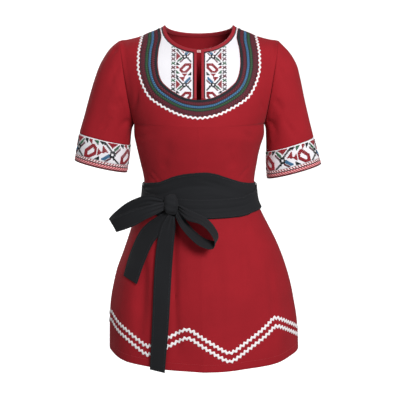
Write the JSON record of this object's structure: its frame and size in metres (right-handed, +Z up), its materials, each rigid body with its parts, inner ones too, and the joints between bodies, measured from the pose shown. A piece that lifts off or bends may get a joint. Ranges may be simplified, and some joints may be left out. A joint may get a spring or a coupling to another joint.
{
  "type": "short-sleeved folk tunic with tied sash",
  "caption": "Hip-length folk tunic with short cuffed sleeves, slit round neck, braided round yoke, zigzag hem trim and a sash tied in a bow.",
  "frame": {"origin": "midway between the two points where the shoulder seams meet the neck edge, where the garment is held at the shoulders", "axes": "+Z up, -Y the front of the garment, +X the viewer's right when looking at the front"},
  "size_m": [0.599, 0.317, 0.8047],
  "materials": {
    "red_cloth": "matt plain-woven red cloth",
    "binding": "satin bias binding in a deeper red",
    "embroidered_cloth": "white even-weave cloth with cross-stitch in red, black, green and blue",
    "dark_cord": "fine black cord with a soft sheen",
    "maroon_braid": "woven maroon braid",
    "blue_braid": "woven blue braid",
    "green_braid": "woven green braid",
    "cuff_braid": "narrow woven braid in red, pink and black stripes",
    "ricrac": "white cotton ricrac",
    "neck_thread": "pale pink thread bar",
    "sash_cloth": "matt charcoal-black crepe"
  },
  "bodies": {
    "root": {"front": "red_cloth", "back": "red_cloth", "sleeve_left": "red_cloth", "sleeve_right": "red_cloth", "cuff_band_left": "embroidered_cloth", "cuff_band_right": "embroidered_cloth", "cuff_braid_left": "cuff_braid", "cuff_braid_right": "cuff_braid", "neck_binding": "binding", "slit_binding_left": "binding", "slit_binding_right": "binding", "neck_bar": "neck_thread", "bib_left": "embroidered_cloth", "bib_right": "embroidered_cloth", "yoke_cord": "dark_cord", "yoke_braid_inner": "maroon_braid", "yoke_braid_blue": "blue_braid", "yoke_braid_green": "green_braid", "yoke_braid_outer": "maroon_braid", "yoke_ricrac": "ricrac", "hem_ricrac_upper": "ricrac", "hem_ricrac_lower": "ricrac", "sash_front": "sash_cloth", "sash_back": "sash_cloth", "sash_tie_right": "sash_cloth", "sash_tie_left": "sash_cloth", "bow_knot": "sash_cloth", "bow_loop_left": "sash_cloth", "bow_loop_right": "sash_cloth", "tail_left": "sash_cloth", "tail_right": "sash_cloth"}
  },
  "joints": []
}
